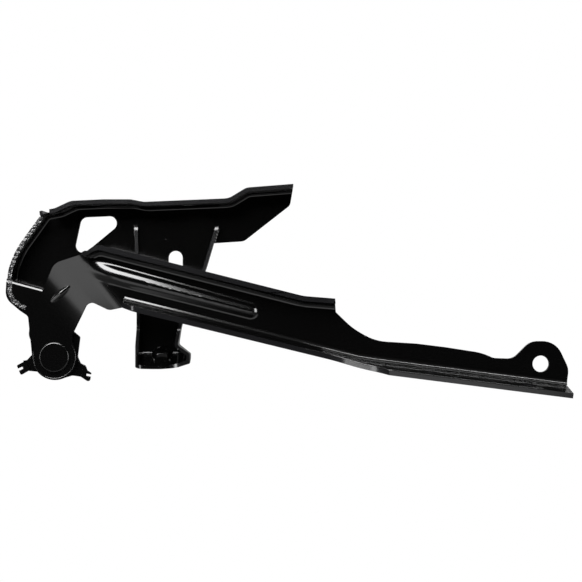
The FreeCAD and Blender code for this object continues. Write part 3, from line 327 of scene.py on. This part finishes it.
def round_folds(piece):
    """Slices the skin across the two sweeps and shifts it there."""
    skin = bmesh.new()
    skin.from_mesh(piece.data)
    square = Vector((FOLD_SQUARE[0], 0, FOLD_SQUARE[1]))
    pivot = Vector(place([0, 0, 0]))
    for middle, half, _ in FOLDS:
        for step in np.arange(-half, half + 0.1, SLICE):
            bmesh.ops.bisect_plane(skin, geom=skin.verts[:] + skin.edges[:] + skin.faces[:], dist=1e-7,
                                   plane_co=pivot + square * ((middle + step) * MM), plane_no=square)
    swept = [vertex for vertex in skin.verts if fold_shift(square_to_folds(vertex)) != 0]
    bmesh.ops.remove_doubles(skin, verts=swept, dist=SLIVER * MM)
    for vertex in skin.verts:
        d = square_to_folds(vertex)
        if fold_shift(d) != 0:
            depth = from_pivot(vertex.co)[1]
            if abs(depth - kinked(d)) < NEAR_FACE:
                depth = kinked(d)               # the frame's own tight arc makes way
            vertex.co.y = float(depth + fold_shift(d) + PIVOT[1]) * MM
    skin.to_mesh(piece.data)
    skin.free()
    smooth(piece.data)


# %% [markdown]
# ## The bead's wide back
#
# A bead stiffens the arm's web and carries the hinge's brightest highlight. In the frame its
# crown is high and steep, and a steep crown squeezes the light into a thread. The pressed one
# is flatter: its flanks lean 30 degrees at the knee and 36 at the round end, so the upper one
# mirrors one lamp in a broad band. So the frame's bead is sunk a little and a flatter one is
# drawn over it.
#
# Across the bead the section is a crown arc that runs tangent into a base arc. Along it, the
# height grows as a smooth step $t^2(3-2t)$ from the start of the second fold, so that the
# slope of the plateau runs on into the bead's back.

# %% The bead
BEAD_START = np.array([32.0, 50.2])         # on the bead's axis near the knee, along and up
BEAD_LENGTH = 88.5                          # from there to the middle of the round end
BEAD_FALL = math.radians(14.6)
BEAD_AXIS = np.array([math.cos(BEAD_FALL), -math.sin(BEAD_FALL)])
BEAD_SIDE = np.array([math.sin(BEAD_FALL), math.cos(BEAD_FALL)])
BEAD_FROM = 46.6                            # where it begins, square to the folds from the pivot
BEAD_INSIDE = -15.5                         # first place along its axis that is on the sheet
BEAD_HALF = 6.65                            # half width at the knee
BEAD_TAPER = 1.15                           # how much of it is lost on the way to the round end
BEAD_HEIGHT = 1.8
BEAD_GROWTH = 14.0                          # mm square to the folds to reach full height
BASE_ARC = 4.0                              # radius between the bead and the web
WEB_FRONT = NECK_FRONT - KNEE_RISE
SUNK = 2.7                                  # mm, how far the frame's bead goes back
SUNK_HALF = 6.9                             # mm to each side of the axis
SUNK_RUN = (-19.0, BEAD_LENGTH + 5.6)       # mm along the axis
SKIN_GAP = 0.02                             # mm, the drawn bead lies this far before the web


def sheet(name, grid, body, material):
    """A smooth skin through a grid of points in mm from the pivot."""
    rows, columns = grid.shape[:2]
    index = np.arange(rows * columns).reshape(rows, columns)
    faces = np.stack([index[:-1, :-1], index[:-1, 1:], index[1:, 1:], index[1:, :-1]], axis=-1)
    mesh = bpy.data.meshes.new(name)
    mesh.from_pydata(place(grid.reshape(-1, 3)).tolist(), [], faces.reshape(-1, 4).tolist())
    smooth(mesh)
    mesh.materials.append(material)
    piece = bpy.data.objects.new(name, mesh)
    bpy.context.scene.collection.objects.link(piece)
    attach(piece, body)


def bead_half(t):
    """Half width at a share t of the way: BEAD_HALF - BEAD_TAPER t."""
    return BEAD_HALF - BEAD_TAPER * np.clip(t, 0, 1)


def bump_height(u, half):
    """Height over the web at u across: crown arc inside, base arc near the edge at half."""
    turn = 2 * np.arctan(BEAD_HEIGHT / half)
    crown = half / np.sin(turn) - BASE_ARC
    split = crown * np.sin(turn)
    u = np.abs(u)
    inner = BEAD_HEIGHT - crown + np.sqrt(np.maximum(crown ** 2 - u ** 2, 0))
    outer = BASE_ARC - np.sqrt(np.maximum(BASE_ARC ** 2 - (half - u) ** 2, 0))
    return np.where(u < split, inner, np.where(u < half, outer, 0.0))


def bead_grid(steps=170, across=48):
    """The bead's skin: P(s, u) = start + s axis + u side, raised by growth(s, u) bump(u)."""
    run = np.linspace(0, 1, steps) ** 1.4       # the rows lie closer at the knee
    half = bead_half(run)[:, None]
    u = half * np.sin(np.linspace(-1, 1, across) * math.pi / 2)
    along = BEAD_AXIS @ FOLD_SQUARE
    first = (BEAD_FROM - BEAD_START @ FOLD_SQUARE - u * (BEAD_SIDE @ FOLD_SQUARE)) / along
    first = np.maximum(first, BEAD_INSIDE)
    last = BEAD_LENGTH + np.sqrt(np.maximum(half ** 2 - u ** 2, 0))
    s = first + (last - first) * run[:, None]
    rise = np.clip((s - first) * along / BEAD_GROWTH, 0, 1)
    growth = rise ** 2 * (3 - 2 * rise)
    beyond = np.maximum(s - BEAD_LENGTH, 0)
    raised = growth * bump_height(np.hypot(u, beyond), bead_half(s / BEAD_LENGTH))
    flat = BEAD_START + s[..., None] * BEAD_AXIS + u[..., None] * BEAD_SIDE
    d = flat @ FOLD_SQUARE
    return np.stack([flat[..., 0], kinked(d) + fold_shift(d) - SKIN_GAP - raised, flat[..., 1]], axis=-1)


def sink_bead(piece):
    """Moves the front of the frame's bead back by SUNK, so that the drawn one covers it."""
    mesh = piece.data
    where = from_pivot([v.co[:] for v in mesh.vertices])
    flat = where[:, [0, 2]] - BEAD_START
    s = flat @ BEAD_AXIS
    u = flat @ BEAD_SIDE
    faces_viewer = np.zeros(len(mesh.vertices), bool)
    for face in mesh.polygons:
        if face.normal.y < -0.05:               # the back and the sheared edges stay
            faces_viewer[list(face.vertices)] = True
    inside = (np.abs(u) < SUNK_HALF) & (s > SUNK_RUN[0]) & (s < SUNK_RUN[1])
    proud = where[:, 1] < WEB_FRONT - 0.05      # further forward than the web
    moved = inside & faces_viewer & proud
    for i in np.flatnonzero(moved):
        mesh.vertices[i].co.y = (min(where[i, 1] + SUNK, WEB_FRONT + 0.1) + PIVOT[1]) * MM
    return int(moved.sum())


print("bead vertices sunk:", sink_bead(arm))
round_folds(arm)
sheet("pressed_arm_bead", bead_grid(), "arm", dip_paint)

# %% [markdown]
# ## Welds
#
# The leg is fixed by short weld beads on both its edges, and two tacks of the nut can be
# seen. A weld bead is a row of drops, each one frozen on the last: a tube whose radius swells
# and narrows. The pip that the press leaves in the leg is a single drop of the same kind.

# %% Weld beads
WELDS = (
    # name, node that it sits on, start, end, radius, drops
    ("leg_weld_right", "support_leg", (97.3, 18.2, 78.6), (94.6, 18.2, 68.9), 1.1, 5),
    ("leg_weld_left", "support_leg", (46.1, 18.2, 80.5), (46.3, 18.2, 72.5), 1.0, 4),
    ("leg_pip", "support_leg", (64.9, 16.8, 71.1), (65.7, 16.8, 71.1), 0.6, 1),
    ("nut_weld_1", "foot_weld_nut", (57.8, 8.6, -0.7), (59.4, 4.4, -2.2), 0.8, 2),
    ("nut_weld_3", "foot_weld_nut", (69.8, 8.6, -0.7), (68.2, 4.4, -2.2), 0.8, 2),
)


def weld_bead(name, node, start, end, radius, drops):
    """A tube from start to end: r(t) = R (0.8 + 0.2 |sin(pi n t)|) sqrt(1 - (2t - 1)^8)."""
    start, end = np.asarray(start, float), np.asarray(end, float)
    t = np.linspace(0, 1, 10 * drops + 1)
    around = np.linspace(0, 2 * math.pi, 13)
    size = radius * (0.8 + 0.2 * np.abs(np.sin(math.pi * drops * t))) * np.sqrt(1 - (2 * t - 1) ** 8)
    along = (end - start) / np.linalg.norm(end - start)
    side = np.cross(along, [0.0, 1.0, 0.0])
    side = side / np.linalg.norm(side)
    front = np.cross(along, side)
    ring = np.cos(around)[:, None] * side + np.sin(around)[:, None] * front
    grid = start + t[:, None, None] * (end - start) + size[:, None, None] * ring[None]
    sheet(name, grid, "bracket", dip_paint)


for weld in WELDS:
    weld_bead(*weld)
print("welds", len(WELDS))

# %% [markdown]
# ## The torn rim of the ear
#
# Left of the ear the blank was cut with a worn punch: a rough band nearly three millimetres
# wide runs down the outline. It is a ribbon laid on the bracket, its depth looked up on the
# bracket itself.

# %% The torn rim
RIM = np.array([[-27.2, 46.0], [-27.4, 38.5], [-25.4, 34.2], [-20.6, 30.6], [-17.8, 29.4]])
RIM_WIDTH = 2.6
RIM_GAP = 0.1                               # mm, the ribbon lies this far before the face
FAR_FRONT = -70.0                           # mm, a place in front of the whole hinge


def depth_at(tree, x, z):
    """The depth, in mm from the pivot, of the first face met at x and z, or nan."""
    hit = tree.ray_cast(Vector(place([x, FAR_FRONT, z])), Vector((0, 1, 0)))
    return from_pivot(hit[0])[1] if hit[0] else np.nan


def ribbon_grid(piece, line, width):
    """A ribbon P(t, v) = line(t) + v width square(t), laid just before the piece's face."""
    tree = look_tree(piece.data)
    t = np.linspace(0, len(line) - 1, 41)
    middle = np.stack([np.interp(t, np.arange(len(line)), line[:, k]) for k in (0, 1)], axis=-1)
    along = np.gradient(middle, axis=0)
    square = np.stack([-along[:, 1], along[:, 0]], axis=-1) / np.linalg.norm(along, axis=1)[:, None]
    flat = middle + np.linspace(-0.5, 0.5, 4)[:, None, None] * width * square
    depth = np.array([[depth_at(tree, x, z) for x, z in row] for row in flat]) - RIM_GAP
    depth = np.where(np.isnan(depth), np.nanmax(depth), depth)
    return np.stack([flat[..., 0], depth, flat[..., 1]], axis=-1)


rim = ribbon_grid(bracket, RIM, RIM_WIDTH)
sheet("torn_ear_rim", rim, "bracket", glitter_paint)
print("rim depths", rim[..., 1].min().round(2), rim[..., 1].max().round(2))

# %% [markdown]
# ## Burrs
#
# A punch leaves a burr on one side of the cut, and the dip paint rounds it to a thread. Two
# of them catch the light: along the front edge of the lower flange, and round the arm's eye.

# %% Burrs
BURR = 0.3                                  # mm, radius of the painted thread
EYE = 12.7                                  # mm, radius of the thread round the eye
EYE_TURN = np.radians([165, 395])           # where it begins and ends about the pivot
FLANGE_RUN = (150, 286)                     # mm from the pivot, where its thread begins and ends
LOOK_HEIGHTS = np.arange(14.0, -32.0, -0.2)     # mm from the pivot, from above the flange down


def burr(name, line, square):
    """A thread P(t, a) = line(t) + BURR (cos a square(t) + sin a y) along a line."""
    around = np.linspace(0, 2 * math.pi, 9)
    depth = np.array([0.0, 1.0, 0.0])
    grid = line[:, None] + BURR * (np.cos(around)[None, :, None] * square[:, None]
                                   + np.sin(around)[None, :, None] * depth)
    sheet(name, grid, "arm", dip_paint)


def flange_edge(piece, places):
    """The upper corner of the lower flange's front edge, looked up on the piece itself."""
    tree = look_tree(piece.data)
    points = []
    for x in places:
        depths = np.array([depth_at(tree, x, z) for z in LOOK_HEIGHTS])
        front = np.nanmin(depths)
        top = LOOK_HEIGHTS[depths < front + 0.3].max()      # what lies this close is the edge
        points.append([x, front + 0.1, top])
    return np.array(points)


edge = flange_edge(arm, np.linspace(*FLANGE_RUN, 69))
print("flange edge from height", edge[0, 2].round(1), "to", edge[-1, 2].round(1))
burr("flange_burr", edge, np.tile([0.0, 0.0, 1.0], (len(edge), 1)))
turn = np.linspace(*EYE_TURN, 70)
spoke = np.stack([np.cos(turn), np.zeros_like(turn), np.sin(turn)], axis=-1)
burr("eye_burr", EYE * spoke + np.array([0.0, NECK_FRONT - 0.1, 0.0]), spoke)

# %% [markdown]
# ## The studio
#
# A glossy black part on white is lit as a silhouette: white all round, and something dark
# behind the camera, so that the flat faces have nothing to mirror. Here the world is white
# for the camera only. For mirrored rays it is a dim grey that falls to black in a wide cone
# about the camera's own direction, and the lines of light all come from lamps.

# %% Floor
FLOOR = -0.30                               # metres; well below the hinge, which hangs by its bolts
FLOOR_HALF = 4.0                            # metres


def make_floor():
    """A square of board, flat at the floor's height, white to the camera and grey to the light."""
    corners = [(x * FLOOR_HALF, y * FLOOR_HALF, FLOOR) for x, y in ((-1, -1), (1, -1), (1, 1), (-1, 1))]
    mesh = bpy.data.meshes.new("studio_floor")
    mesh.from_pydata(corners, [], [(0, 1, 2, 3)])
    floor = bpy.data.objects.new("studio_floor", mesh)
    bpy.context.scene.collection.objects.link(floor)
    material, tree, output = new_material("white_painted_board")
    matt = add(tree, "ShaderNodeBsdfDiffuse", Color=linear("#4c4c4c"))
    white = add(tree, "ShaderNodeEmission", Color=(1, 1, 1, 1), Strength=1.0)
    ray = add(tree, "ShaderNodeLightPath")
    mix = add(tree, "ShaderNodeMixShader", _0=ray.outputs["Is Camera Ray"], _1=matt.outputs[0],
              _2=white.outputs[0])
    tree.links.new(mix.outputs[0], output.inputs["Surface"])
    mesh.materials.append(material)


make_floor()
print("floor at", FLOOR)

# %% World
world = bpy.data.worlds.new("white_studio")
bpy.context.scene.world = world
world.use_nodes = True
tree = world.node_tree
tree.nodes.clear()
where = add(tree, "ShaderNodeTexCoord").outputs["Generated"]
split = add(tree, "ShaderNodeSeparateXYZ", Vector=where)
toward_camera = add(tree, "ShaderNodeMath", {"operation": "MULTIPLY"}, _0=split.outputs["Y"], _1=-1.0)
# Cosines: grey further than 57 degrees from the way to the camera, black within 22 degrees.
dark = add(tree, "ShaderNodeMapRange", {"interpolation_type": "SMOOTHSTEP"}, Value=toward_camera.outputs[0],
           From_Min=0.55, From_Max=0.93, To_Min=0.22, To_Max=0.0)
ray = add(tree, "ShaderNodeLightPath")
dim = add(tree, "ShaderNodeBackground", Color=(1, 1, 1, 1), Strength=dark.outputs["Result"])
plain = add(tree, "ShaderNodeBackground", Color=(1, 1, 1, 1), Strength=1.0)
pick = add(tree, "ShaderNodeMixShader", _0=ray.outputs["Is Camera Ray"], _1=dim.outputs[0],
           _2=plain.outputs[0])
add(tree, "ShaderNodeOutputWorld", Surface=pick.outputs[0])

# %% [markdown]
# Each lamp is there for what it draws, and leaving one out shows what that is. The front box
# draws the wide band on the bead, the glitter of the torn rim and the pale edges of flanges
# and leg. The overhead strip draws the line along the lower bend, and the left strip the
# bright stroke where that bend turns. The right strip lights the bead's round end. The low
# card is what the knee's plateau mirrors. The floor card draws the faint lines beside the
# bead and along the flanges' edges. The back box is for looks from behind.

# %% Lamps
LAMPS = (
    # name, where it hangs and what it faces in metres, size in metres, watts
    ("overhead_box", (0.1, -0.42, 0.85), (0.05, 0, -0.08), (1.4, 0.05), 7),
    ("front_box", (-0.27, -0.74, 0.56), (-0.02, 0, -0.06), (0.76, 0.72), 36),
    ("left_strip", (-0.75, -0.75, 0.1), (-0.05, 0, -0.05), (0.3, 0.6), 4.5),
    ("low_card", (-0.37, -0.45, -0.27), (-0.04, 0, -0.06), (0.2, 0.34), 0.34),
    ("right_strip", (0.85, -0.5, -0.02), (0.05, 0, -0.06), (0.25, 0.7), 7),
    ("back_box", (0.2, 0.9, 0.7), (0.05, 0, -0.06), (0.9, 0.9), 12),
    ("floor_card", (0.05, -0.42, -0.29), (0.05, -0.1, 0.1), (0.5, 0.3), 0.48),
)


def soft_box(name, spot, aim, size, watts):
    """A rectangular area lamp at a spot, turned to face a point."""
    lamp = bpy.data.lights.new(name, "AREA")
    lamp.shape = "RECTANGLE"
    lamp.size, lamp.size_y = size
    lamp.energy = watts
    holder = bpy.data.objects.new(name, lamp)
    holder.location = spot
    holder.rotation_euler = (Vector(aim) - Vector(spot)).to_track_quat("-Z", "Y").to_euler()
    bpy.context.scene.collection.objects.link(holder)


for lamp in LAMPS:
    soft_box(*lamp)
print("lamps", len(LAMPS))

# %% Camera
camera_data = bpy.data.cameras.new("photo_camera")
camera_data.sensor_width = 36.0
camera_data.lens = 103.1                        # mm; the picture is 349 mm wide a metre away
camera = bpy.data.objects.new("photo_camera", camera_data)
camera.location = (0.0896, -1.005, -0.0546)     # a metre in front of the pivot's plane
camera.rotation_euler = (math.radians(90), 0, 0)
bpy.context.scene.collection.objects.link(camera)
bpy.context.scene.camera = camera
bpy.context.scene.view_settings.view_transform = "Standard"
